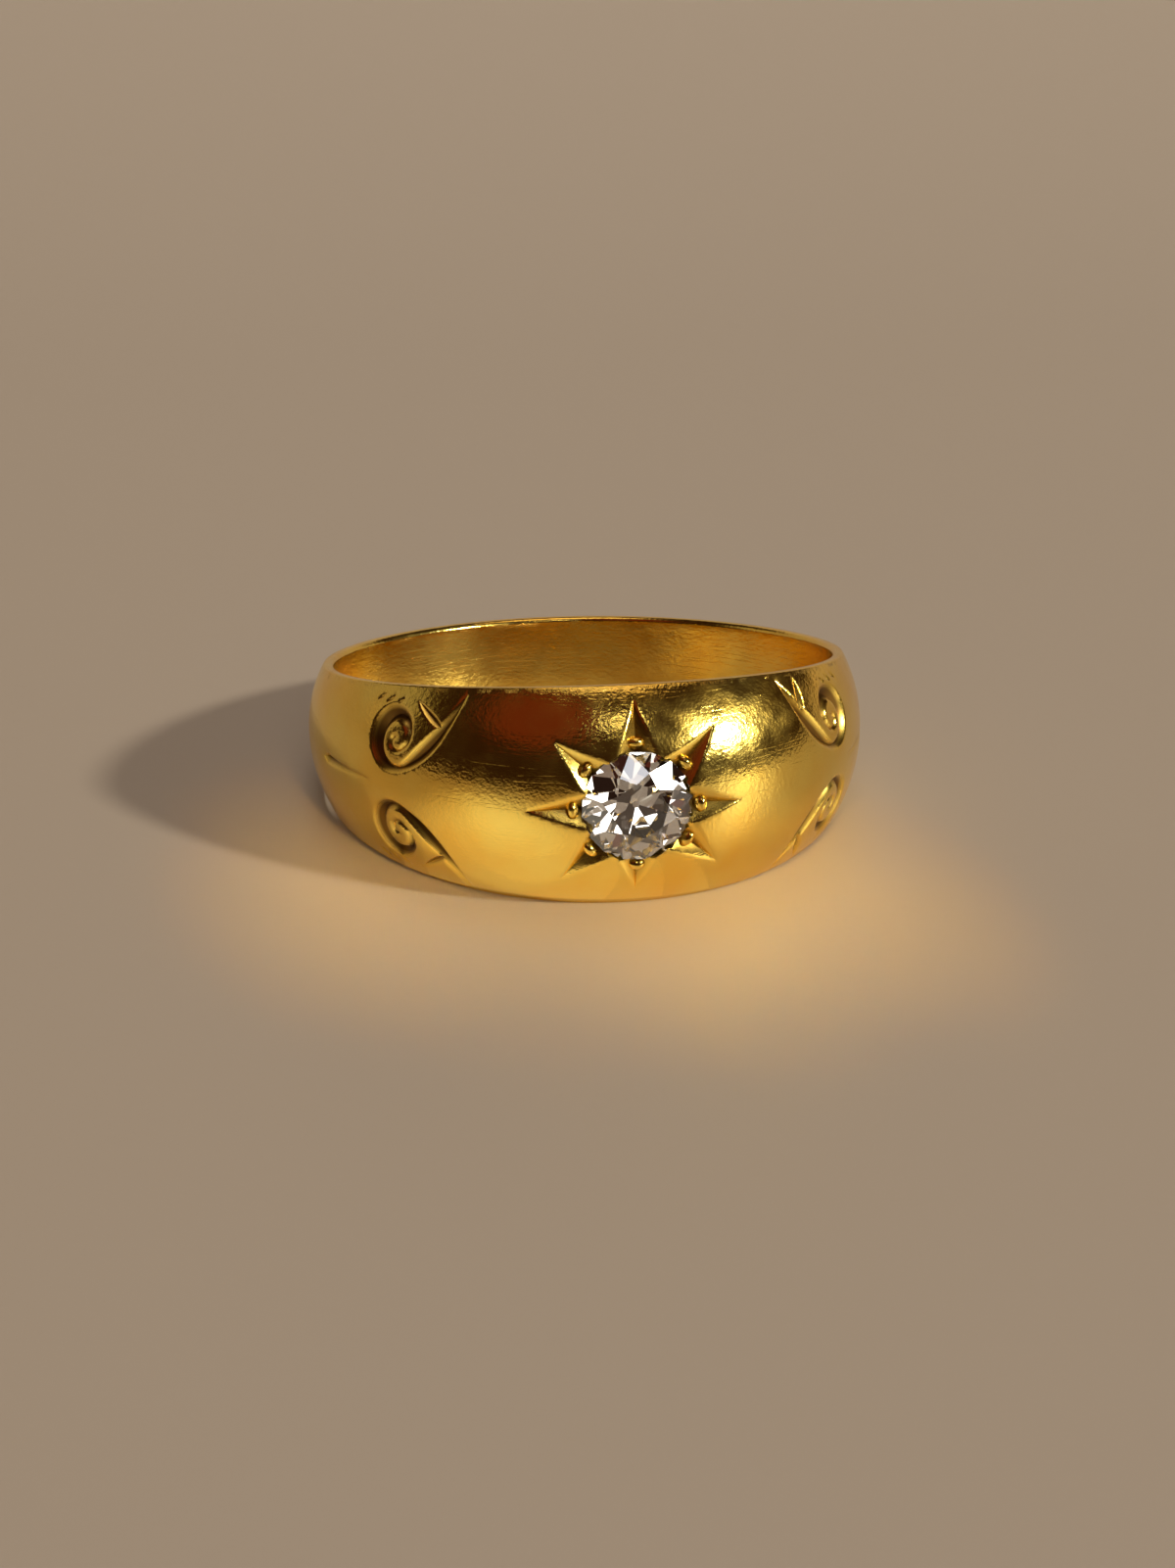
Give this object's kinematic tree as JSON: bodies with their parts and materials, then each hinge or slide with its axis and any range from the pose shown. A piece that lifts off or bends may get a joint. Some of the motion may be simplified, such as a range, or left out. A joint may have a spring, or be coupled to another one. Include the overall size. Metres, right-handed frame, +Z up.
{
  "type": "flush set gypsy ring",
  "caption": "Tapered domed gold ring with a round old cut stone set flush in a star of rays, and engraved scroll shoulders; lies on its side.",
  "frame": {"origin": "on the surface the ring lies on, under the middle of its own box", "axes": "+Z up from that surface, +X to the ring's right seen from the stone, +Y from the stone's side to the back of the band; the finger axis leans back from +Z by 6.4 degrees"},
  "size_m": [0.0202, 0.0214, 0.0075],
  "materials": {
    "gold": "yellow gold, worn polish",
    "stone": "cut and polished diamond"
  },
  "bodies": {
    "root": {"band": "gold", "diamond": "stone"}
  },
  "joints": []
}
